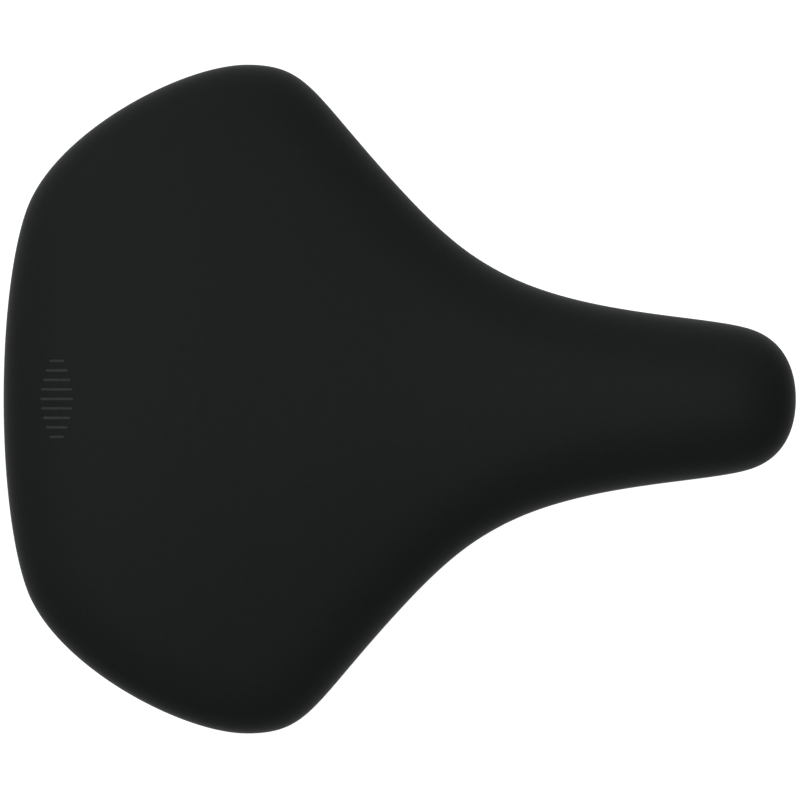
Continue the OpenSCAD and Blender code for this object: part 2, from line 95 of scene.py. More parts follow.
# The outline, as [share of the length, share of the half width, heading, handle behind, handle ahead].
OUTLINE = (
    (0, 0, 90, 0, 0.030),
    (0.034, 0.596, 65, 0.012, 0.026),
    (0.307, 1, 0, 0.0205, 0.019),
    (0.478, 0.687, -48.4, 0.0355, 0.027),
    (0.632, 0.374, -27.2, 0.0145, 0.0305),
    (0.944, 0.209, -18.3, 0.015, 0.012),
    (1, 0, -90, 0.009, 0),
)
SPAN_STEPS = (18, 22, 18, 14, 22, 16)

# Heights along the seat, as (share of the length, value).
CREST = (
    (0, 0.082), (0.15, 0.0845), (0.35, 0.081), (0.55, 0.077), (0.75, 0.0765), (0.9, 0.0775), (1, 0.075),
)
LOWER = (
    (0, 0.043), (0.18, 0.040), (0.32, 0.038), (0.5, 0.042), (0.65, 0.0445), (0.85, 0.043), (1, 0.0415),
)
BASE = ((0, 0.052), (0.3, 0.052), (0.6, 0.0505), (0.8, 0.052), (1, 0.052))
CROWN = ((0, 0.9), (0.38, 1.1), (0.58, 2.6), (0.77, 6.2), (1, 8.5))  # drop across the seat, per metre
EDGE_ROUND = 0.022    # how far in from the rim the cover starts to turn down
EDGE_DROP = 0.017     # how far it has turned down at the rim
BASE_ROUND = 0.011    # the same for the base pan
BASE_LEDGE = 0.0022
BASE_RISE = 0.0085    # height of the base's wall at its rim
SPINE = (0.25, 0.9)   # shares of the length that the rings of the seat shrink to

# The cover's side and hem: inset from the rim, share of the way down, and lift.
SKIRT = (
    (0, 0, 0), (0.0006, 0.35, 0), (0.0022, 0.72, 0), (0.0042, 0.94, 0), (0.0060, 1, 0),
    (0.0090, 1, 0), (0.0106, 1, 0.0013), (0.0109, 1, 0.0040),
)
BASE_OUT = 0.0074     # inset of the base's outer wall from the rim
BASE_IN = 0.00936     # inset of its inner wall
BASE_WALL = 0.003
TOUCH = 0.00005       # air left between parts that only touch


def corners(node):
    """Lowest corner, highest corner and centre of a CAD node."""
    low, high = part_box(node)
    return low, high, (low + high) / 2


# ---------------------------------------------------------------------------
# The seat's shape
# ---------------------------------------------------------------------------

def heading(angle):
    """A unit direction in plan, at an angle from +X in degrees."""
    return np.array([cos(radians(angle)), sin(radians(angle))])


def span_point(k, t):
    """A point on one cubic span of the outline."""
    p, q = OUTLINE[k], OUTLINE[k + 1]
    a = np.array([p[0] * SEAT_LEN, p[1] * HALF_W])
    d = np.array([q[0] * SEAT_LEN, q[1] * HALF_W])
    b = a + heading(p[2]) * p[4]
    c = d - heading(q[2]) * q[3]
    s = 1 - t
    return s**3 * a + 3 * s * s * t * b + 3 * s * t * t * c + t**3 * d


def make_rim():
    """The outline from the rear along the left to the nose, and back along the right."""
    left = [span_point(k, i / n) for k, n in enumerate(SPAN_STEPS) for i in range(n)]
    right = [p * (1, -1) for p in left[:0:-1]]
    return np.array(left + [(SEAT_LEN, 0.0)] + right)


rim = make_rim()
along_rim = np.roll(rim, -1, 0) - np.roll(rim, 1, 0)
along_rim /= np.linalg.norm(along_rim, axis=1)[:, None]
rim_out = np.column_stack([-along_rim[:, 1], along_rim[:, 0]])


def smooth(line, x):
    """A smooth curve through (share, value) points, at distances x from the rear."""
    at = np.array([p[0] for p in line])
    value = np.array([p[1] for p in line])
    slope = np.empty(len(line))
    for k in range(len(line)):
        a, b = max(k - 1, 0), min(k + 1, len(line) - 1)
        slope[k] = (value[b] - value[a]) / (at[b] - at[a])
    u = np.clip(np.asarray(x) / SEAT_LEN, 0, 1)
    k = np.clip(np.searchsorted(at, u, side="right") - 1, 0, len(line) - 2)
    w = at[k + 1] - at[k]
    t = (u - at[k]) / w
    ease = t * t * (3 - 2 * t)
    return (value[k] * (1 - ease) + value[k + 1] * ease
            + slope[k] * w * t * (1 - t) ** 2 - slope[k + 1] * w * t * t * (1 - t))


def rim_distance(p):
    """Distance of each plan point from the outline."""
    best = np.full(len(p), 1.0)
    for start, way in zip(rim, np.roll(rim, -1, 0) - rim):
        t = np.clip(((p - start) @ way) / (way @ way), 0, 1)
        best = np.minimum(best, np.linalg.norm(p - start - t[:, None] * way, axis=1))
    return best


def shoulder(d, reach):
    """1 at the rim, falling to 0 at a reach from it, like a rounded edge."""
    q = np.clip(1 - d / reach, 0, 1)
    return 1 - np.sqrt(np.maximum(1 - q**2.6, 0))


def top_z(p, d):
    """Height of the cover at plan points a distance d in from the rim."""
    crest = smooth(CREST, p[:, 0]) - smooth(CROWN, p[:, 0]) * p[:, 1] ** 2
    return crest - EDGE_DROP * shoulder(d, EDGE_ROUND)


def base_z(p, d):
    """Height of the base's upper side."""
    pan = smooth(BASE, p[:, 0]) - smooth(CROWN, p[:, 0]) * p[:, 1] ** 2 / 2
    wall = smooth(LOWER, p[:, 0]) + BASE_RISE
    return pan + (wall - pan) * shoulder(d - BASE_LEDGE, BASE_ROUND)


def placed(p, z):
    """Plan points moved from the seat's own rear edge into the frame."""
    return np.column_stack([p[:, 0] + REAR, p[:, 1], z])


def ring_plan(share, inset):
    """The rim, inset and then shrunk towards the spine to a share of its size."""
    spine = np.column_stack([SPINE[0] * SEAT_LEN + (SPINE[1] - SPINE[0]) * rim[:, 0], 0 * rim[:, 0]])
    return spine + (rim - rim_out * inset - spine) * share


def top_ring(share):
    p = ring_plan(share, 0)
    return placed(p, top_z(p, rim_distance(p) if share < 1 else 0 * p[:, 0]))


def skirt_ring(inset, down, lift):
    low = smooth(LOWER, rim[:, 0])
    high = top_z(rim, 0 * rim[:, 0])
    return placed(rim - rim_out * inset, high + (low - high) * down + lift)


def base_ring(share, inset, drop):
    p = ring_plan(share, inset)
    d = rim_distance(p) - inset if share < 1 else 0 * p[:, 0]
    return placed(p, base_z(p, d) - drop)


def between(points, steps):
    """Catmull-Rom points through a list of tuples."""
    p = np.array([points[0], *points, points[-1]], float)
    made = []
    for k in range(1, len(p) - 2):
        for i in range(steps):
            t = i / steps
            made.append(0.5 * (2 * p[k] + (p[k + 1] - p[k - 1]) * t
                               + (2 * p[k - 1] - 5 * p[k] + 4 * p[k + 1] - p[k + 2]) * t * t
                               + (3 * p[k] - p[k - 1] - 3 * p[k + 1] + p[k + 2]) * t**3))
    return made + [p[-1]]


def top_shares(count, crowd=2.0):
    """Shares of the way out from the spine, crowded towards the rim."""
    return [1 - (1 - t) ** crowd for t in np.linspace(0.03, 1, count)]


# ---------------------------------------------------------------------------
# Mesh helpers
# ---------------------------------------------------------------------------

def linked(name, data):
    """A new object in the scene that holds a mesh, a light or a camera."""
    obj = bpy.data.objects.new(name, data)
    bpy.context.scene.collection.objects.link(obj)
    return obj


def add_mesh(name, points, faces, body, material):
    mesh = bpy.data.meshes.new(name)
    mesh.from_pydata([tuple(p) for p in points], [], faces)
    mesh.update()
    return finish_piece(linked(name, mesh), body, material)


def finish_piece(obj, body, material, shade=True):
    obj.data.materials.clear()
    obj.data.materials.append(material)
    for polygon in obj.data.polygons:
        polygon.use_smooth = shade
    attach(obj, body)
    return obj


def from_bmesh(name, bm, body, material, shade=True):
    bmesh.ops.recalc_face_normals(bm, faces=bm.faces)
    mesh = bpy.data.meshes.new(name)
    bm.to_mesh(mesh)
    bm.free()
    return finish_piece(linked(name, mesh), body, material, shade)


def cap(first, n):
    """Faces across a ring's middle, joining mirrored stations, facing up."""
    half = n // 2
    faces = [(first, first + n - 1, first + 1)]
    faces += [(first + i, first + n - i, first + n - i - 1, first + i + 1) for i in range(1, half - 1)]
    return faces + [(first + half - 1, first + half + 1, first + half)]


def band(a, b, n):
    """Faces from a ring to the one outside it, facing up."""
    return [(a + i, a + (i + 1) % n, b + (i + 1) % n, b + i) for i in range(n)]


def flip(faces):
    return [tuple(reversed(f)) for f in faces]


def bands(rings):
    n = len(rings[0])
    return [f for j in range(len(rings) - 1) for f in band(j * n, (j + 1) * n, n)]


def axis_matrix(origin, direction):
    """Takes +Z to a direction, from an origin."""
    turn = Vector((0, 0, 1)).rotation_difference(Vector(direction)).to_matrix().to_4x4()
    return Matrix.Translation(origin) @ turn


def lathe(bm, profile, matrix, sides=64):
    """Turns (radius, height) points about a local Z axis; a radius of 0 closes an end."""
    rings = []
    for r, z in profile:
        if r == 0:
            rings.append([bm.verts.new(matrix @ Vector((0, 0, z)))])
        else:
            rings.append(turned_ring(bm, matrix, r, z, sides))
    join_rings(bm, rings)


def turned_ring(bm, matrix, r, z, sides):
    turns = [2 * pi * i / sides for i in range(sides)]
    return [bm.verts.new(matrix @ Vector((r * cos(a), r * sin(a), z))) for a in turns]


def join_rings(bm, rings, closed=False):
    pairs = list(zip(rings, rings[1:]))
    if closed:
        pairs.append((rings[-1], rings[0]))
    for a, b in pairs:
        n = max(len(a), len(b))
        for i in range(n):
            k = (i + 1) % n
            if len(a) == 1:
                bm.faces.new([a[0], b[k], b[i]])
            elif len(b) == 1:
                bm.faces.new([a[i], a[k], b[0]])
            else:
                bm.faces.new([a[i], a[k], b[k], b[i]])


def sweep(bm, path, radius, sides=24, ends=0.0):
    """A round tube along a path, with its ends eased by a small chamfer."""
    path = [Vector(p) for p in path]
    radii = [radius] * len(path)
    if ends:
        first, last = (path[1] - path[0]).normalized(), (path[-1] - path[-2]).normalized()
        path = [path[0], path[0] + first * ends] + path[1:-1] + [path[-1] - last * ends, path[-1]]
        radii = [radius - ends, radius] + [radius] * (len(path) - 4) + [radius, radius - ends]
    last_k = len(path) - 1
    tangents = [(path[min(k + 1, last_k)] - path[max(k - 1, 0)]).normalized() for k in range(last_k + 1)]
    side = tangents[0].orthogonal().normalized()
    rings = []
    for p, t, r in zip(path, tangents, radii):
        side = (side - t * side.dot(t)).normalized()
        up = t.cross(side)
        rings.append(ring_about(bm, p, side, up, r, sides))
    tip_a, tip_b = [bm.verts.new(path[0])], [bm.verts.new(path[-1])]
    join_rings(bm, [tip_a] + rings + [tip_b])


def ring_about(bm, centre, side, up, r, sides):
    turns = [2 * pi * i / sides for i in range(sides)]
    return [bm.verts.new(centre + (side * cos(a) + up * sin(a)) * r) for a in turns]


def rounded_path(points, bends, steps=14):
    """A route of straight stretches with each corner turned to its own radius."""
    pts = [Vector(p) for p in points]
    made = [pts[0]]
    for a, b, c, big in zip(pts, pts[1:], pts[2:], bends):
        u, v = (b - a).normalized(), (c - b).normalized()
        turn = acos(max(-1, min(1, u.dot(v))))
        x = u.cross(u.cross(v).normalized())
        centre = b - u * big * tan(turn / 2) - x * big
        turns = [turn * i / steps for i in range(steps + 1)]
        made += [centre + (x * cos(a) + u * sin(a)) * big for a in turns]
    return made + [pts[-1]]


def refined(node, material, bevel=0.0003, segments=2, limit=35):
    """A copy of a hard CAD node with its edges eased, standing in for it."""
    source = nodes[node]
    mesh = source.data.copy()
    bm = bmesh.new()
    bm.from_mesh(mesh)
    bmesh.ops.remove_doubles(bm, verts=bm.verts, dist=1e-6)
    bmesh.ops.dissolve_limit(bm, angle_limit=radians(0.5), verts=bm.verts, edges=bm.edges)
    for f in bm.faces:
        f.smooth = True
    bm.to_mesh(mesh)
    bm.free()
    mesh.name = node + "_finish"
    obj = linked(node + "_finish", mesh)
    ease = obj.modifiers.new("Bevel", "BEVEL")
    ease.width = bevel
    ease.segments = segments
    ease.limit_method = "ANGLE"
    ease.angle_limit = radians(limit)
    ease.harden_normals = False
    weighted = obj.modifiers.new("Normals", "WEIGHTED_NORMAL")
    weighted.keep_sharp = False
    finish_piece(obj, source["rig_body"], material)
    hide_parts(node)
    return obj


# ---------------------------------------------------------------------------
# Materials
# ---------------------------------------------------------------------------

class Surface:
    """A Principled material with object-space coordinates and a few named patterns."""

    def __init__(self, name):
        self.material = bpy.data.materials.new(name)
        self.material.use_nodes = True
        self.tree = self.material.node_tree
        self.shader = self.tree.nodes["Principled BSDF"]
        self.place = self.tree.nodes.new("ShaderNodeTexCoord").outputs["Object"]
        self.bump = None

    def link(self, output, node_input):
        self.tree.links.new(output, node_input)

    def add(self, kind, **values):
        made = self.tree.nodes.new(kind)
        for key, value in values.items():
            if key in made.inputs:
                made.inputs[key].default_value = value
            else:
                setattr(made, key, value)
        return made

    def stretched(self, scale):
        mapping = self.add("ShaderNodeMapping")
        mapping.inputs["Scale"].default_value = scale
        self.link(self.place, mapping.inputs["Vector"])
        return mapping.outputs["Vector"]

    def noise(self, size, detail=3, place=None):
        made = self.add("ShaderNodeTexNoise", Scale=1 / size, Detail=detail)
        self.link(place or self.place, made.inputs["Vector"])
        return made.outputs["Fac"]

    def cells(self, size, place=None):
        made = self.add("ShaderNodeTexVoronoi", Scale=1 / size, feature="SMOOTH_F1", Smoothness=0.35)
        self.link(place or self.place, made.inputs["Vector"])
        return made.outputs["Distance"]

    def ramp(self, value, low, high, start=0.3, end=0.7):
        made = self.add("ShaderNodeValToRGB")
        made.color_ramp.elements[0].position = start
        made.color_ramp.elements[0].color = (*low, 1)
        made.color_ramp.elements[1].position = end
        made.color_ramp.elements[1].color = (*high, 1)
        self.link(value, made.inputs["Fac"])
        return made.outputs["Color"]

    def spread(self, value, low, high):
        made = self.add("ShaderNodeMapRange")
        made.inputs["From Min"].default_value = 0.3
        made.inputs["From Max"].default_value = 0.7
        made.inputs["To Min"].default_value = low
        made.inputs["To Max"].default_value = high
        self.link(value, made.inputs["Value"])
        return made.outputs["Result"]

    def colour(self, value, low, high, start=0.3, end=0.7):
        self.link(self.ramp(value, low, high, start, end), self.shader.inputs["Base Color"])

    def roughness(self, value, low, high):
        self.link(self.spread(value, low, high), self.shader.inputs["Roughness"])

    def relief(self, value, depth, strength=1.0):
        made = self.add("ShaderNodeBump", Strength=strength, Distance=depth)
        self.link(value, made.inputs["Height"])
        if self.bump:
            self.link(self.bump, made.inputs["Normal"])
        self.bump = made.outputs["Normal"]
        self.link(self.bump, self.shader.inputs["Normal"])

    def set(self, **values):
        """Sets the shader's own sockets; an underscore stands for a space."""
        for key, value in values.items():
            self.shader.inputs[key.replace("_", " ")].default_value = value


MATTE = 0.02  # the cover and its print have almost no sheen


def soft_vinyl():
    """Fine-grained black vinyl, with a faint pebble."""
    s = Surface("soft_vinyl")
    s.colour(s.noise(0.0011, 3), (0.0140, 0.0163, 0.0155), (0.0156, 0.0181, 0.0172))
    s.roughness(s.noise(0.0016, 3), 0.44, 0.49)
    s.relief(s.cells(0.0006), 0.00003, 0.5)
    s.relief(s.noise(0.00018, 2), 0.000012, 0.4)
    s.set(IOR=1.45, Specular_IOR_Level=MATTE)
    return s.material


def print_ink():
    s = Surface("print_ink")
    s.colour(s.noise(0.002, 3), (0.034, 0.036, 0.036), (0.042, 0.044, 0.044))
    s.roughness(s.noise(0.001, 2), 0.40, 0.52)
    s.relief(s.noise(0.0003, 2), 0.00001, 0.4)
    s.set(Specular_IOR_Level=MATTE)
    return s.material


def moulded_plastic():
    s = Surface("moulded_plastic")
    s.colour(s.noise(0.02, 3), (0.018, 0.018, 0.019), (0.026, 0.026, 0.027))
    s.roughness(s.noise(0.006, 3), 0.48, 0.62)
    s.relief(s.noise(0.0006, 4), 0.00006, 0.6)
    return s.material


def powder_coat():
    s = Surface("powder_coat")
    s.colour(s.noise(0.015, 3), (0.016, 0.016, 0.017), (0.024, 0.024, 0.025))
    s.roughness(s.noise(0.005, 3), 0.34, 0.48)
    s.relief(s.noise(0.0012, 2), 0.00003, 0.5)
    s.set(Coat_Weight=0.15, Coat_Roughness=0.25)
    return s.material


def spring_enamel():
    s = Surface("spring_enamel")
    s.colour(s.noise(0.01, 3), (0.014, 0.014, 0.015), (0.022, 0.022, 0.023))
    s.roughness(s.noise(0.004, 3), 0.20, 0.32)
    s.relief(s.noise(0.0016, 2), 0.00003, 0.4)
    s.set(Coat_Weight=0.4, Coat_Roughness=0.12)
    return s.material


def zinc_plate():
    s = Surface("zinc_plate")
    s.colour(s.noise(0.006, 4), (0.50, 0.52, 0.54), (0.66, 0.67, 0.68))
    s.roughness(s.noise(0.003, 4), 0.26, 0.42)
    s.relief(s.noise(0.0004, 3, s.stretched((1, 1, 6))), 0.000015, 0.5)
    s.set(Metallic=1.0)
    return s.material


def cast_alloy():
    s = Surface("cast_alloy")
    s.colour(s.noise(0.008, 4), (0.46, 0.47, 0.49), (0.60, 0.61, 0.62))
    s.roughness(s.noise(0.004, 3), 0.36, 0.52)
    s.relief(s.noise(0.0007, 3), 0.00004, 0.5)
    s.set(Metallic=1.0)
    return s.material


def nylon():
    s = Surface("nylon")
    s.colour(s.noise(0.004, 3), (0.62, 0.60, 0.52), (0.72, 0.70, 0.63))
    s.roughness(s.noise(0.002, 3), 0.38, 0.5)
    s.relief(s.noise(0.0003, 2), 0.00001, 0.5)
    s.set(Subsurface_Weight=0.15, Subsurface_Scale=0.002)
    return s.material


def cushion_foam():
    s = Surface("cushion_foam")
    s.colour(s.cells(0.0012), (0.55, 0.47, 0.26), (0.78, 0.70, 0.46), 0.05, 0.6)
    s.roughness(s.noise(0.003, 3), 0.85, 0.95)
    s.relief(s.cells(0.0009), 0.0004, 0.8)
    return s.material


def gel():
    s = Surface("gel")
    s.colour(s.noise(0.01, 3), (0.10, 0.32, 0.48), (0.16, 0.42, 0.58))
    s.roughness(s.noise(0.006, 2), 0.08, 0.18)
    s.relief(s.noise(0.004, 2), 0.0001, 0.4)
    s.set(Subsurface_Weight=0.4, Subsurface_Scale=0.005)
    return s.material


# Painted light: a pool of glow on the floor, centred up and to the left of the saddle, brightest near it and
# fading with distance.
POOL_CENTRE = (-0.06, 0.10, 0)
POOL_REACH = (0.20, 0.55)    # where the pool of light starts to fade and has faded
POOL_STRENGTH = (0.92, 0.42)


def glow_pool_floor():
    """A pale floor with painted light: it glows in a pool near the saddle, white there and washing out the
    saddle's shadow, without throwing much light.
    """
    s = Surface("glow_pool_floor")
    s.colour(s.noise(0.8, 2), (0.40, 0.40, 0.40), (0.42, 0.42, 0.42))
    s.roughness(s.noise(0.05, 2), 0.85, 0.95)
    s.set(Emission_Color=(1, 1, 1, 1))
    away = s.add("ShaderNodeVectorMath", operation="DISTANCE")
    s.link(s.place, away.inputs[0])
    away.inputs[1].default_value = POOL_CENTRE
    pool = s.add("ShaderNodeMapRange", interpolation_type="SMOOTHSTEP")
    for key, value in zip(("From Min", "From Max", "To Min", "To Max"), POOL_REACH + POOL_STRENGTH):
        pool.inputs[key].default_value = value
    s.link(away.outputs["Value"], pool.inputs["Value"])
    s.link(pool.outputs["Result"], s.shader.inputs["Emission Strength"])
    return s.material


VINYL = soft_vinyl()
INK = print_ink()
PLASTIC = moulded_plastic()
BLACK = powder_coat()
ENAMEL = spring_enamel()
ZINC = zinc_plate()
ALLOY = cast_alloy()
NYLON = nylon()
FOAM = cushion_foam()
GEL = gel()


# ---------------------------------------------------------------------------
# Cover, foam, gel and base
# ---------------------------------------------------------------------------

TOP_RINGS = 20
SKIRT_STEPS = 3
HEM_RINGS = 8
HEM_PLEAT = 0.00055    # depth of the deepest pleat
HEM_WAVE = 2.4         # radians of a pleat from one station of the rim to the next
TIGHT_TURN = 0.35      # turn of the rim, across four stations, where pleats are deepest
DRAWN = 0.6            # share of the skin's thickness that is drawn, to clear the foam
SWELL_REACH = 0.0016   # the most that the cloth run may move a point
SWELL_LOOSE = 0.9      # how free the loosest points are, from 0 to 1
SWELL_EASE = 0.030     # how far in from the rim the cover is at its loosest


def cover_rings():
    """Rings over the top, from the spine out to the rim, and rings down the side and under."""
    top = [top_ring(s) for s in top_shares(TOP_RINGS)]
    side = [skirt_ring(*p) for p in between(SKIRT, SKIRT_STEPS)[1:]]
    return top, side


def swell(obj, loose, reach, pressure=4, frames=20):
    """Blows the cover up a little over its foam with a short cloth run, and keeps at most reach of it."""
    before = np.array([v.co for v in obj.data.vertices])
    pins = obj.vertex_groups.new(name="pins")
    for i, weight in enumerate(1 - loose):
        pins.add([i], float(weight), "REPLACE")
    cloth = obj.modifiers.new("Cloth", "CLOTH")
    cloth.settings.quality = 6
    cloth.settings.mass = 0.25
    cloth.settings.tension_stiffness = 20
    cloth.settings.compression_stiffness = 20
    cloth.settings.bending_stiffness = 2
    cloth.settings.use_pressure = True
    cloth.settings.uniform_pressure_force = pressure
    cloth.settings.effector_weights.gravity = 0
    cloth.settings.vertex_group_mass = "pins"
    cloth.point_cache.frame_start = 1
    cloth.point_cache.frame_end = frames
    for f in range(1, frames + 1):
        bpy.context.scene.frame_set(f)
    settled = obj.evaluated_get(bpy.context.evaluated_depsgraph_get())
    moved = np.array([v.co for v in settled.data.vertices]) - before
    obj.modifiers.remove(cloth)
    obj.vertex_groups.remove(pins)
    bpy.context.scene.frame_set(1)
    length = np.linalg.norm(moved, axis=1)
    moved *= (np.minimum(length, reach) / np.maximum(length, 1e-9))[:, None]
    obj.data.vertices.foreach_set("co", (before + moved).ravel())
    obj.data.update()


def gather_hem(obj, first, n):
    """Small pleats where the turned-in hem rounds the tight corners."""
    bend = np.linalg.norm(np.roll(along_rim, -2, 0) - np.roll(along_rim, 2, 0), axis=1)
    even = np.convolve(np.tile(bend, 3), np.ones(9) / 9, "same")[n:2 * n]
    wave = np.array([0.5 + 0.5 * sin(HEM_WAVE * i) for i in range(n)]) * np.clip(even / TIGHT_TURN, 0, 1)
    for j in range(HEM_RINGS):
        depth = HEM_PLEAT * sin(pi * (j + 1) / HEM_RINGS / 1.4)
        for i in range(n):
            obj.data.vertices[first + j * n + i].co.z -= depth * wave[i]


def make_cover():
    """The vinyl skin, swollen a little over the foam and turned in under the base."""
    top, side = cover_rings()
    rings = top + side
    n = len(rim)
    faces = cap(0, n) + bands(rings)
    obj = add_mesh("cover_skin", np.vstack(rings), faces, "seat_top", VINYL)
    over = [rim_distance(r[:, :2] - (REAR, 0)) for r in top]
    depth = np.concatenate(over + [np.zeros(n)] * len(side))
    swell(obj, SWELL_LOOSE * np.clip(depth / SWELL_EASE, 0, 1) ** 1.5, SWELL_REACH)
    gather_hem(obj, (len(rings) - HEM_RINGS) * n, n)
    wall = obj.modifiers.new("Thickness", "SOLIDIFY")
    wall.thickness = SKIN * DRAWN
    wall.offset = -1
    fine = obj.modifiers.new("Smooth", "SUBSURF")
    fine.levels = 1
    fine.render_levels = 1
    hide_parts("cover")
    return obj


FOAM_RINGS = 14
FOAM_BELOW_SKIN = np.array([0, 0, 0.0018])
FOAM_ABOVE_BASE = 0.0002
# The foam's side just inside the cover's: inset from the rim, share of the way down, and lift.
FOAM_SIDE = (
    (0.0016, 0.05, 0), (0.0020, 0.35, 0), (0.0035, 0.72, 0.0004), (0.0052, 0.94, 0.0008), (0.0073, 1, SKIN),
)


def make_foam():
    """The foam fills the room between the cover and the base."""
    top = [top_ring(s) - FOAM_BELOW_SKIN for s in top_shares(FOAM_RINGS)[:-1]]
    rings = top + [skirt_ring(*p) for p in FOAM_SIDE]
    under = [base_ring(s, BASE_OUT, -FOAM_ABOVE_BASE) for s in top_shares(FOAM_RINGS)]
    n = len(rim)
    first_under = len(rings) * n
    faces = cap(0, n) + bands(rings)
    faces += flip([tuple(i + first_under for i in f) for f in cap(0, n) + bands(under)])
    faces += band((len(rings) - 1) * n, first_under + (len(under) - 1) * n, n)
    obj = add_mesh("foam_cushion", np.vstack(rings + under), faces, "seat_top", FOAM)
    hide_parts("foam_pad")


def make_gel(side):
    """The gel keeps its CAD shape, smoothed."""
    name = f"gel_pad_{side}"
    obj = refined(name, GEL, bevel=0.0002, segments=1, limit=80)


BASE_RINGS = 16


def make_base():
    """The moulded pan, with its rim turned down to the cover's hem."""
    n = len(rim)
    shares = top_shares(BASE_RINGS)
    foot = SKIN + TOUCH
    over = [base_ring(s, BASE_OUT, 0) for s in shares] + [skirt_ring(BASE_OUT, 1, foot)]
    under = [base_ring(s, BASE_IN, BASE_WALL) for s in shares] + [skirt_ring(BASE_IN, 1, foot)]
    first = len(over) * n
    faces = cap(0, n) + bands(over)
    faces += flip([tuple(i + first for i in f) for f in cap(0, n) + bands(under)])
    faces += band((len(over) - 1) * n, first + (len(under) - 1) * n, n)
    obj = add_mesh("base_pan", np.vstack(over + under), faces, "seat_top", PLASTIC)
    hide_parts("base_shell")


def under_z(x, y):
    """Height of the base's underside at a place in the frame."""
    p = np.array([[x - REAR, y]])
    inset = rim_distance(p) - BASE_IN
    return float(base_z(p, inset)[0]) - BASE_WALL


def inside_base(x, y, margin):
    """Whether a place is inside the base's wall by a margin."""
    p = np.array([x - REAR, y])
    k = int(np.argmin(np.linalg.norm(rim - p, axis=1)))
    return float((rim[k] - p) @ rim_out[k]) > BASE_IN + margin


RIB = 0.0016
RIB_DEEP = 0.0026
RIB_EASE = 0.0003
RIB_SUNK = 0.0006      # how far a rib runs up into the pan
RIB_TIP = 0.15         # share of its depth that a rib has at its ends
RIBS_ALONG = (-0.078, -0.026, 0.026, 0.078)   # where the long ribs start, across the rear
RIBS_ACROSS = (-0.045, -0.015, 0.015, 0.045)
RIB_REAR, RIB_FRONT, RIB_SIDE = -0.110, 0.070, 0.100
RIB_CONVERGE = 0.35    # share of their spacing at the rear that the long ribs end with


def rib(bm, start, end, steps=40):
    """A moulded rib under the base that follows its underside, tapering at both ends."""
    start, end = Vector(start), Vector(end)
    side = (end - start).normalized().orthogonal() * RIB / 2
    stations = [start.lerp(end, i / steps) for i in range(steps + 1)]
    stations = [p for p in stations if inside_base(p.x, p.y, 0.002)]
    rings = []
    for k, p in enumerate(stations):
        from_end = min(k, len(stations) - 1 - k)
        pan = under_z(p.x, p.y)
        foot = pan - RIB_DEEP * min(1, 4 * from_end / steps + RIB_TIP)
        half = ((1.2, pan + RIB_SUNK), (0.8, foot + RIB_EASE), (0.5, foot))
        section = half + tuple((-t, h) for t, h in reversed(half))
        rings.append([bm.verts.new((p.x + side.x * t, p.y + side.y * t, h)) for t, h in section])
    if len(rings) > 2:
        join_rings(bm, rings)
        bm.faces.new(rings[0][::-1])
        bm.faces.new(rings[-1])


def make_ribs():
    """Long ribs that draw together towards the nose, and straight ones across them."""
    bm = bmesh.new()
    for y in RIBS_ALONG:
        rib(bm, (RIB_REAR, y), (RIB_FRONT, y * RIB_CONVERGE))
    for x in RIBS_ACROSS:
        rib(bm, (x, -RIB_SIDE), (x, RIB_SIDE))
    from_bmesh("base_ribs", bm, "seat_top", PLASTIC)


BOSS_R = 0.0185
BOSS_TALL = 0.006
GUSSETS = 8
GUSSET_FROM, GUSSET_TO = BOSS_R - 0.0008, BOSS_R + 0.006
GUSSET_HALF = 0.0008   # half its thickness, its height at the tip, and its foot above the seat
GUSSET_SUNK = 0.0005   # how far it runs up into the pan
NOSE_PAD_TALL = 0.004


def make_boss(side):
    """The round boss that an upper spring cup bolts to, with gussets out to the pan."""
    _, high, mid = corners(f"upper_spring_cup_{side}")
    bm = bmesh.new()
    seat = high.z + TOUCH
    top = seat + BOSS_TALL
    profile = [(0, seat), (BOSS_R - 0.0014, seat), (BOSS_R - 0.0006, seat + 0.0006), (BOSS_R, top), (0, top)]
    lathe(bm, profile, Matrix.Translation((mid.x, mid.y, 0)))
    for k in range(GUSSETS):
        a = 2 * pi * (k + 0.5) / GUSSETS
        root, tip = [Vector((mid.x + r * cos(a), mid.y + r * sin(a), 0)) for r in (GUSSET_FROM, GUSSET_TO)]
        if inside_base(tip.x, tip.y, 0.001):
            gusset(bm, root, tip, seat + GUSSET_HALF)
    from_bmesh(f"spring_boss_{side}", bm, "seat_top", PLASTIC)


def make_nose_pad():
    """The block under the nose that the bracket screws into."""
    low, high, mid = corners("nose_bracket")
    size = Vector((high.x - low.x, high.y - low.y, NOSE_PAD_TALL))
    foot = Vector((mid.x, 0, high.z + 2 * TOUCH))
    bm = bmesh.new()
    bmesh.ops.create_cube(bm, size=1)
    for v in bm.verts:
        v.co = foot + Vector((v.co.x * size.x, v.co.y * size.y, (v.co.z + 0.5) * size.z))
    bmesh.ops.bevel(bm, geom=list(bm.edges), offset=0.0006, segments=2, affect="EDGES")
    from_bmesh("nose_pad", bm, "seat_top", PLASTIC)


def gusset(bm, root, tip, low):
    """A thin triangular web from a boss out to the pan."""
    way = (tip - root).normalized()
    side = Vector((-way.y, way.x, 0)) * GUSSET_HALF
    high_root, high_tip = [under_z(p.x, p.y) + GUSSET_SUNK for p in (root, tip)]
    outline = [(root, low), (tip, high_tip - GUSSET_HALF), (tip, high_tip), (root, high_root)]
    rings = [[bm.verts.new((p.x + s * side.x, p.y + s * side.y, z)) for p, z in outline] for s in (1, -1)]
    join_rings(bm, rings)
    bm.faces.new(rings[0][::-1])
    bm.faces.new(rings[1])


BARS = 9
BAR_PITCH = 0.0031
BAR_WIDE = 0.0010
BAR_SHORT, BAR_GROW = 0.0036, 0.0072
PRINT_LIFT = 0.00012
PRINT_MIDDLE = REAR + 0.0180


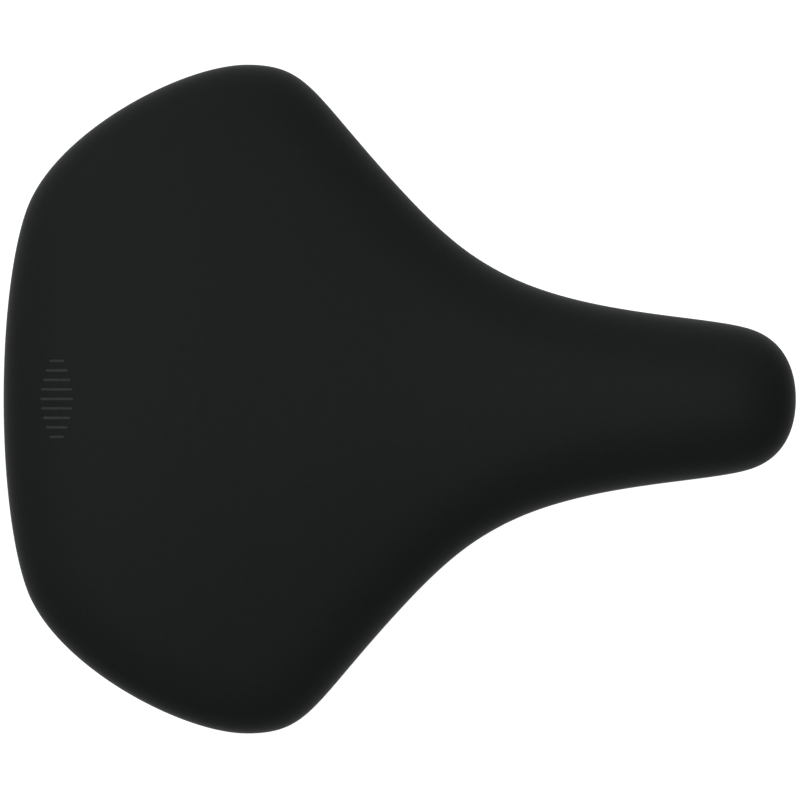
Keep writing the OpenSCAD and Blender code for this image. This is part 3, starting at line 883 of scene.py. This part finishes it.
def make_print(cover):
    """A generic row of rounded bars, printed near the middle of the rear edge."""
    skin = cover.evaluated_get(bpy.context.evaluated_depsgraph_get()).to_mesh()
    tree = BVHTree.FromPolygons([v.co for v in skin.vertices], [p.vertices for p in skin.polygons])
    bm = bmesh.new()
    for k in range(BARS):
        y = (k - (BARS - 1) / 2) * BAR_PITCH
        printed_bar(bm, tree, y, BAR_SHORT + BAR_GROW * sin(pi * (k + 0.5) / BARS))
    from_bmesh("rear_print", bm, "seat_top", INK)


def printed_bar(bm, tree, y, long, steps=16):
    """A thin bar with rounded ends that follows the cover's surface."""
    rings = []
    for i in range(steps + 1):
        along = -cos(pi * i / steps)
        into_end = max(abs(along) * long / 2 - (long - BAR_WIDE) / 2, 0)
        half = max((BAR_WIDE**2 / 4 - into_end**2), 0) ** 0.5 + 0.00002
        ring = []
        for share, lift in ((-1, -0.5), (-0.8, 0.9), (0, 1), (0.8, 0.9), (1, -0.5)):
            place = Vector((PRINT_MIDDLE + along * long / 2, y + share * half, 0.2))
            hit = tree.ray_cast(place, Vector((0, 0, -1)))[0]
            ring.append(bm.verts.new((place.x, place.y, hit.z + lift * PRINT_LIFT)))
        rings.append(ring)
    join_rings(bm, rings)
    bm.faces.new(rings[0][::-1])
    bm.faces.new(rings[-1])


# ---------------------------------------------------------------------------
# Springs and their cups
# ---------------------------------------------------------------------------

WIRE = 0.0045
TURNS = 5.25
STEPS_A_TURN = 48
CUP_FLANGE = 0.0025
CLOSED_PITCH = WIRE * 1.02
PITCH_EASE = 0.04       # how gently the open turns start and end
PROUD_SIDE, PROUD_TOP = 0.00007, 0.00017   # how far the round wire passes its faceted CAD solid


def make_spring(side):
    """A coil with a closed turn at each end, handed to its side."""
    sign = 1 if side == "left" else -1
    low, high, mid = corners(f"spring_{side}")
    bottom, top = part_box(f"lower_spring_cup_{side}")[0].z + CUP_FLANGE, high.z + PROUD_TOP
    coil = (high.x - low.x - WIRE) / 2 + PROUD_SIDE
    gap = top - bottom - WIRE - 2 * CLOSED_PITCH
    path = []
    steps = ceil(TURNS * STEPS_A_TURN)
    for k in range(steps + 1):
        t = TURNS * k / steps
        if t < 1:
            z = t * CLOSED_PITCH
        elif t > TURNS - 1:
            z = CLOSED_PITCH + gap + (t - TURNS + 1) * CLOSED_PITCH
        else:
            u = (t - 1) / (TURNS - 2)
            z = CLOSED_PITCH + gap * (u - PITCH_EASE * sin(2 * pi * u))
        a = 2 * pi * t * sign
        path.append((mid.x + coil * cos(a), mid.y + coil * sin(a), bottom + WIRE / 2 + z))
    bm = bmesh.new()
    sweep(bm, path, WIRE / 2, sides=20, ends=0.0004)
    obj = from_bmesh(f"coil_{side}", bm, "undercarriage", ENAMEL)
    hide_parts(f"spring_{side}")
    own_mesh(obj)


def make_cup(name, body, up):
    """A pressed spring seat: a dished flange with a rolled lip, and a boss inside the coil."""
    low, high, mid = corners(name)
    seat, sign = (low.z, 1) if up else (high.z, -1)
    r = (high.x - low.x) / 2
    tall = high.z - low.z
    boss = r - 0.0057
    bore = 0.0031
    flange = [(bore, 0), (r - 0.0006, 0), (r, 0.0006), (r, 0.0019), (r - 0.0004, 0.0023)]
    fillet = [(r - 0.0009, 0.0023), (boss + 0.0012, 0.0023), (boss + 0.0004, 0.0026), (boss, 0.0034)]
    crown = [(boss, tall - 0.0016), (boss - 0.0004, tall - 0.0006), (boss - 0.0014, tall)]
    mouth = [(bore + 0.0003, tall), (bore, tall - 0.0003), (bore, 0)]
    profile = flange + fillet + crown + mouth
    bm = bmesh.new()
    lathe(bm, [(a, b * sign) for a, b in profile], Matrix.Translation((mid.x, mid.y, seat)))
    obj = from_bmesh(name + "_pressing", bm, body, BLACK)
    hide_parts(name)


# ---------------------------------------------------------------------------
# Fasteners
# ---------------------------------------------------------------------------

def hexagon(r_corner, angle):
    """Radius of a hexagon with that corner radius, at an angle."""
    return r_corner * cos(pi / 6) / cos((angle % (pi / 3)) - pi / 6)


HEX_FACE = 0.97        # radius of a hexagon's turned end, as a share of its flat's
HEX_CUT_FROM = 0.985   # where its chamfer starts, as a share of the same
HEX_CUT = 0.55         # fall of the chamfer for its run
BORE_EASE = 0.0004


def hex_block(bm, matrix, r_corner, tall, bore=0.0, sides=96, washer=0.0003):
    """A hexagon with turned chamfers at both ends, solid or with a bore."""
    flat = r_corner * cos(pi / 6)

    def ring(height, toward):
        made = []
        for i in range(sides):
            a = 2 * pi * i / sides
            r = hexagon(r_corner, a)
            cut = max(r - flat * HEX_CUT_FROM, 0) * HEX_CUT
            z = height - cut if toward > 0 else height + cut
            made.append(bm.verts.new(matrix @ Vector((r * cos(a), r * sin(a), z))))
        return made

    def circle(r, z):
        return turned_ring(bm, matrix, r, z, sides)

    face = flat * HEX_FACE
    rings = [circle(face, 0), ring(washer, -1), ring(tall, 1), circle(face, tall)]
    if bore:
        rings = [circle(bore, BORE_EASE), circle(bore + BORE_EASE, 0)] + rings
        rings += [circle(bore + BORE_EASE, tall), circle(bore, tall - BORE_EASE)]
        join_rings(bm, rings, closed=True)
    else:
        centre = [bm.verts.new(matrix @ Vector((0, 0, z))) for z in (0, tall)]
        join_rings(bm, [[centre[0]]] + rings + [[centre[1]]])


def threaded(bm, matrix, r, start, end, pitch, thread_from, sides=32):
    """A shank whose far part carries a real helical thread."""
    steps = max(int((end - thread_from) / pitch * 8), 8)
    heights = [start, thread_from]
    heights += [thread_from + (end - thread_from) * (k + 1) / steps for k in range(steps)]
    rings = []
    for z in heights:
        ring = []
        for i in range(sides):
            a = 2 * pi * i / sides
            depth = 0.0
            if z > thread_from:
                wave = (z / pitch - i / sides) % 1
                depth = pitch * 0.5 * abs(2 * wave - 1)
                depth *= min(1, (z - thread_from) / pitch)
            radius = r - depth
            if z > end - r * 0.2:
                radius = min(radius, r - (z - end + r * 0.2))
            ring.append(bm.verts.new(matrix @ Vector((radius * cos(a), radius * sin(a), z))))
        rings.append(ring)
    tips = [[bm.verts.new(matrix @ Vector((0, 0, z)))] for z in (start, end)]
    join_rings(bm, [tips[0]] + rings + [tips[1]])


M6 = {"corner": 0.0055, "shank": 0.003, "pitch": 0.001, "head": 0.004}
M8 = {"corner": 0.0075, "shank": 0.004, "pitch": 0.00125, "head": 0.0055}
NUT_SLACK = 0.00002
SHANK_IN_HEAD = 0.001
CLAMP_PLAIN = 0.046      # plain length of each bolt under its head
PIVOT_PLAIN = 0.0235
SPRING_PLAIN = 0.006


def hex_bolt(bm, place, size, long, plain):
    """A bolt with its head below a place and its shank running up from it."""
    hex_block(bm, place @ Matrix.Translation((0, 0, -size["head"])), size["corner"], size["head"])
    threaded(bm, place, size["shank"], -SHANK_IN_HEAD, long, size["pitch"], plain)


def hex_nut(bm, place, size, tall):
    hex_block(bm, place, size["corner"], tall, bore=size["shank"] + NUT_SLACK)


def zinc_fastener(bm, node, ending, body):
    obj = from_bmesh(node + ending, bm, body, ZINC, shade=False)
    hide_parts(node)


def make_cross_bolt(node, body, size, face, plain):
    """A bolt across the saddle, with its head on the right, against a face."""
    _, high, mid = corners(node)
    bm = bmesh.new()
    hex_bolt(bm, axis_matrix((mid.x, face, mid.z), (0, 1, 0)), size, high.y - face, plain)
    zinc_fastener(bm, node, "_thread", body)


def make_cross_nut(node, body, size):
    low, high, mid = corners(node)
    bm = bmesh.new()
    hex_nut(bm, axis_matrix((mid.x, low.y, mid.z), (0, 1, 0)), size, high.y - low.y)
    zinc_fastener(bm, node, "_hex", body)


def spring_places(node, lift):
    """Upright places on the two springs' axes, a lift above the node's foot."""
    low, high, mid = corners(node)
    y = high.y - M6["corner"] * cos(pi / 6)
    return [Matrix.Translation((mid.x, sign * y, low.z + lift)) for sign in (1, -1)]


def make_spring_bolts(node, body):
    low, high, _ = corners(node)
    bm = bmesh.new()
    for place in spring_places(node, M6["head"]):
        hex_bolt(bm, place, M6, high.z - low.z - M6["head"], SPRING_PLAIN)
    zinc_fastener(bm, node, "_thread", body)


def make_spring_nuts(node, body):
    low, high, _ = corners(node)
    bm = bmesh.new()
    for place in spring_places(node, 0):
        hex_nut(bm, place, M6, high.z - low.z)
    zinc_fastener(bm, node, "_hex", body)


def make_bolts():
    """The clamp, hinge and spring bolts and their nuts, with chamfered corners and threads."""
    make_cross_bolt("clamp_bolt", "rail_clamp", M8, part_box("clamp_washers")[0].y - TOUCH, CLAMP_PLAIN)
    make_cross_nut("clamp_nut", "rail_clamp", M8)
    make_cross_bolt("pivot_bolt", "seat_top", M6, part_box("pivot_bolt")[0].y + M6["head"], PIVOT_PLAIN)
    make_cross_nut("pivot_nut", "seat_top", M6)
    make_spring_bolts("lower_spring_bolts", "undercarriage")
    make_spring_bolts("upper_spring_bolts", "seat_top")
    make_spring_nuts("lower_spring_nuts", "undercarriage")


SCREW_HEAD_R = 0.0036
SCREW_SHANK_R = 0.002
SCREW_REAR_Y = 0.0065
SCREW_FRONT_Y = 0.0055
RECESS = (0.0036, 0.0007, 0.0016)
RECESS_TURN = 0.4


def make_screws():
    """Pan-head screws with a cross recess, under the nose."""
    low, high, _ = corners("nose_bracket_screws")
    bm = bmesh.new()
    rear, front = low.x + SCREW_HEAD_R, high.x - SCREW_HEAD_R
    places = [(rear, SCREW_REAR_Y), (rear, -SCREW_REAR_Y), (front, SCREW_FRONT_Y), (front, -SCREW_FRONT_Y)]
    top = low.z + 0.0022
    pan = [(0, low.z), (0.0012, low.z + 0.00004), (0.0024, low.z + 0.0003), (0.0033, low.z + 0.0009)]
    shank = [(SCREW_HEAD_R, low.z + 0.0017), (SCREW_HEAD_R, top), (SCREW_SHANK_R, top),
             (SCREW_SHANK_R, high.z - 0.0006), (SCREW_SHANK_R - 0.0006, high.z), (0, high.z)]
    for x, y in places:
        lathe(bm, pan + shank, Matrix.Translation((x, y, 0)), sides=40)
    obj = from_bmesh("nose_screw_heads", bm, "seat_top", ZINC)
    cut_recesses(obj, places, low.z)
    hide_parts("nose_bracket_screws")


def cut_recesses(obj, places, face):
    """Cuts a cross into each screw's head."""
    cut = bmesh.new()
    for x, y in places:
        for turn in (0, pi / 2):
            made = bmesh.ops.create_cube(cut, size=1)["verts"]
            bmesh.ops.scale(cut, vec=RECESS, verts=made)
            across = Matrix.Rotation(turn + RECESS_TURN, 3, "Z")
            bmesh.ops.rotate(cut, cent=(0, 0, 0), matrix=across, verts=made)
            bmesh.ops.translate(cut, vec=(x, y, face), verts=made)
    crosses = bpy.data.meshes.new("cross_recess_tool")
    cut.to_mesh(crosses)
    cut.free()
    tool = linked("cross_recess_tool", crosses)
    carve = obj.modifiers.new("Recess", "BOOLEAN")
    carve.object = tool
    carve.operation = "DIFFERENCE"
    carve.solver = "EXACT"
    carve.use_self = True
    carved = bpy.data.meshes.new_from_object(obj.evaluated_get(bpy.context.evaluated_depsgraph_get()))
    obj.modifiers.remove(carve)
    obj.data = carved
    bpy.data.objects.remove(tool)


def make_washers():
    """Turned washers with eased edges, under the clamp bolt's head and its nut."""
    low, high, mid = corners("clamp_washers")
    bm = bmesh.new()
    r, thick, bore, ease = (high.x - low.x) / 2, 0.00155, 0.0041, 0.0002
    outer = [(r - ease, 0), (r, ease), (r, thick - ease), (r - ease, thick)]
    inner = [(bore + ease, thick), (bore, thick - ease), (bore, ease)]
    profile = [(bore, ease), (bore + ease, 0)] + outer + inner
    for sign in (1, -1):
        lathe(bm, profile, axis_matrix((mid.x, sign * (high.y - thick), mid.z), (0, sign, 0)))
    obj = from_bmesh("clamp_washer_pair", bm, "rail_clamp", ZINC)
    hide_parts("clamp_washers")


# ---------------------------------------------------------------------------
# Rail frame
# ---------------------------------------------------------------------------

RAIL_R = 0.0035
RAIL_Z = 0.011
STRAIGHT = (-0.063, 0.015)       # rear and front ends of the rails' straight part
RAIL_BENDS = (0.009, 0.005, 0.013, 0.013)
BAND = (-0.102, -0.087)          # rear and front edges of the bridge between its two pads
WELD_STEPS = 21


def make_rail(side):
    """Bent wire, straight through the clamp, down to the bridge and up to the nose sleeve."""
    sign = 1 if side == "left" else -1
    low, high, _ = corners(f"rail_{side}")
    y = max(abs(low.y), abs(high.y)) - RAIL_R
    foot = low.z + RAIL_R
    # The same corners as the CAD rail's, from its rear end to the sleeve.
    route = [(low.x, y, foot), (STRAIGHT[0] - 0.018, y, foot), (STRAIGHT[0] - 0.003, y, RAIL_Z),
             (STRAIGHT[1] + 0.004, y, RAIL_Z), (0.088, 0.0054, 0.0332), (0.100, 0.0046, 0.0356)]
    path = rounded_path([(x, v * sign, z) for x, v, z in route], RAIL_BENDS)
    bm = bmesh.new()
    sweep(bm, path, RAIL_R, sides=32, ends=0.0006)
    obj = from_bmesh(f"rail_{side}_wire", bm, "undercarriage", BLACK)
    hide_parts(f"rail_{side}")


def weld(bm, path, radius, seed):
    """A weld bead: an uneven chain of overlapping ripples along a path."""
    random = np.random.default_rng(seed)
    path = [Vector(p) for p in path]
    rings = []
    side = None
    for k, p in enumerate(path):
        t = (path[min(k + 1, len(path) - 1)] - path[max(k - 1, 0)]).normalized()
        side = (side - t * side.dot(t)).normalized() if side else t.orthogonal().normalized()
        up = t.cross(side)
        ends = min(1, 0.35 + k / 3, 0.35 + (len(path) - 1 - k) / 3)
        r = radius * ends * (1 + 0.14 * sin(k * 1.9) + 0.05 * random.standard_normal())
        rings.append(ring_about(bm, p, side, up, r, 12))
    join_rings(bm, [[bm.verts.new(path[0])]] + rings + [[bm.verts.new(path[-1])]])


def make_welds():
    """Beads along both sides of each rail under the bridge, and round the rails' ends at the sleeve."""
    bm = bmesh.new()
    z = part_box("rear_bridge")[0].z - 0.0007
    rail_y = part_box("rail_left")[1].y - RAIL_R
    seed = 0
    for sign in (1, -1):
        for offset in (1, -1):
            y = sign * rail_y + offset * (RAIL_R - 0.0009)
            seed += 1
            weld(bm, [(BAND[0] + 0.0015 + 0.0006 * k, y, z) for k in range(WELD_STEPS)], 0.0011, seed)
    low, high, mid = corners("nose_sleeve")
    r_out = (high.z - low.z) / 2
    for sign in (1, -1):
        seed += 1
        around = []
        for k in range(WELD_STEPS + 1):
            a = 2 * pi * k / WELD_STEPS
            z = mid.z + 0.0034 * sin(a) - 0.0004
            x = mid.x - (max(r_out**2 - (z - mid.z) ** 2, 0)) ** 0.5
            around.append((x, 0.0047 * sign + 0.0036 * cos(a), z))
        weld(bm, around, 0.0008, seed)
    from_bmesh("weld_beads", bm, "undercarriage", BLACK)


BEAD_HALF = 0.026      # half the length of the bead pressed along the bridge
BEAD_TALL = 0.0013
BEAD_WIDE = 0.0034


def make_bridge():
    """The pressed plate between the rails, with a bead pressed along it."""
    refined("rear_bridge", BLACK, bevel=0.0006, segments=3)
    x, top = sum(BAND) / 2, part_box("rear_bridge")[1].z - 0.0001
    bm = bmesh.new()
    steps = 40
    turns = [pi * i / 10 for i in range(11)]
    rings = []
    for k in range(steps + 1):
        y = -BEAD_HALF + 2 * BEAD_HALF * k / steps
        fade = max(1 - (abs(y) / BEAD_HALF) ** 8, 0)
        tall, wide = BEAD_TALL * fade + 0.00002, BEAD_WIDE * (0.5 + 0.5 * fade)
        rings.append([bm.verts.new((x + wide * cos(a), y, top + tall * sin(a))) for a in turns])
    join_rings(bm, rings)
    bm.faces.new(rings[0][::-1])
    bm.faces.new(rings[-1])
    from_bmesh("bridge_bead", bm, "undercarriage", BLACK)


# ---------------------------------------------------------------------------
# Stage
# ---------------------------------------------------------------------------

FLOOR_DROP = 0.032     # below the saddle's foot, so that no joint's limit reaches the floor
FLOOR_SIZE = 6
# Each light's name, place, size and power in watts.
LIGHTS = (
    ("overhead", (-0.1, 0.15, 1.9), 1.3, 20),
    ("upper_side", (-0.9, 1.2, 1.0), 1.1, 10),
    ("fill", (-0.7, -1.5, 0.9), 1.2, 1.5),
)
SKY = (0.9, 0.92, 0.95, 1)
SKY_STRENGTH = 0.08

SENSOR = 36            # millimetres, as is the lens
LENS = 600             # long and far away, so that the view is almost parallel
FRAME_FILL = 0.990625  # share of the frame's width that the saddle's length fills
RIM_HEIGHT = 0.060     # height of the widest outline, which sets the scale
CAMERA_Y = -0.0003


def add_light(name, place, size, power):
    """A soft round light, aimed at the top of the saddle."""
    target = Vector(((cad_low.x + cad_high.x) / 2, 0, cad_high.z))
    data = bpy.data.lights.new(name, "AREA")
    data.shape = "DISK"
    data.size = size
    data.energy = power
    light = linked(name, data)
    light.location = place
    light.visible_camera = False
    light.rotation_euler = (target - Vector(place)).to_track_quat("-Z", "Y").to_euler()


def make_stage():
    """The floor, the lights and a dim even sky."""
    bm = bmesh.new()
    bmesh.ops.create_grid(bm, x_segments=8, y_segments=8, size=FLOOR_SIZE)
    mesh = bpy.data.meshes.new("floor")
    bm.to_mesh(mesh)
    bm.free()
    floor = linked("floor", mesh)
    floor.location = (0, 0, cad_low.z - FLOOR_DROP)
    floor.data.materials.append(glow_pool_floor())
    for light in LIGHTS:
        add_light(*light)
    world = bpy.data.worlds.new("studio")
    world.use_nodes = True
    sky = world.node_tree.nodes["Background"]
    sky.inputs["Color"].default_value = SKY
    sky.inputs["Strength"].default_value = SKY_STRENGTH
    bpy.context.scene.world = world
    bpy.context.scene.view_settings.view_transform = "Standard"
    bpy.context.scene.view_settings.look = "None"


def make_camera():
    """Straight above, far away with a long lens, the nose to the right."""
    data = bpy.data.cameras.new("camera")
    data.sensor_width = SENSOR
    data.lens = LENS
    data.clip_end = 100
    far = SEAT_LEN / FRAME_FILL * LENS / SENSOR
    camera = linked("camera", data)
    camera.location = ((cad_low.x + cad_high.x) / 2, CAMERA_Y, RIM_HEIGHT + far)
    bpy.context.scene.camera = camera


# ---------------------------------------------------------------------------
# The whole saddle
# ---------------------------------------------------------------------------

make_camera()
make_stage()
cover = make_cover()
make_foam()
make_gel("left")
make_gel("right")
make_base()
make_ribs()
for side in ("left", "right"):
    make_boss(side)
make_nose_pad()
make_print(cover)
for side in ("left", "right"):
    make_spring(side)
    make_rail(side)
    make_cup(f"lower_spring_cup_{side}", "undercarriage", True)
    make_cup(f"upper_spring_cup_{side}", "seat_top", False)
    refined(f"inner_rail_cup_{side}", ALLOY, bevel=0.00025)
    refined(f"outer_rail_cup_{side}", ALLOY, bevel=0.0006, segments=3)
    refined(f"pivot_bush_{side}", NYLON, bevel=0.0002)
refined("post_collar", ALLOY, bevel=0.0002)
refined("nose_bracket", BLACK, bevel=0.0004, segments=3)
refined("nose_sleeve", BLACK, bevel=0.0004)
refined("cover_staples", ZINC, bevel=0.00015)
make_bridge()
make_welds()
make_bolts()
make_screws()
make_washers()
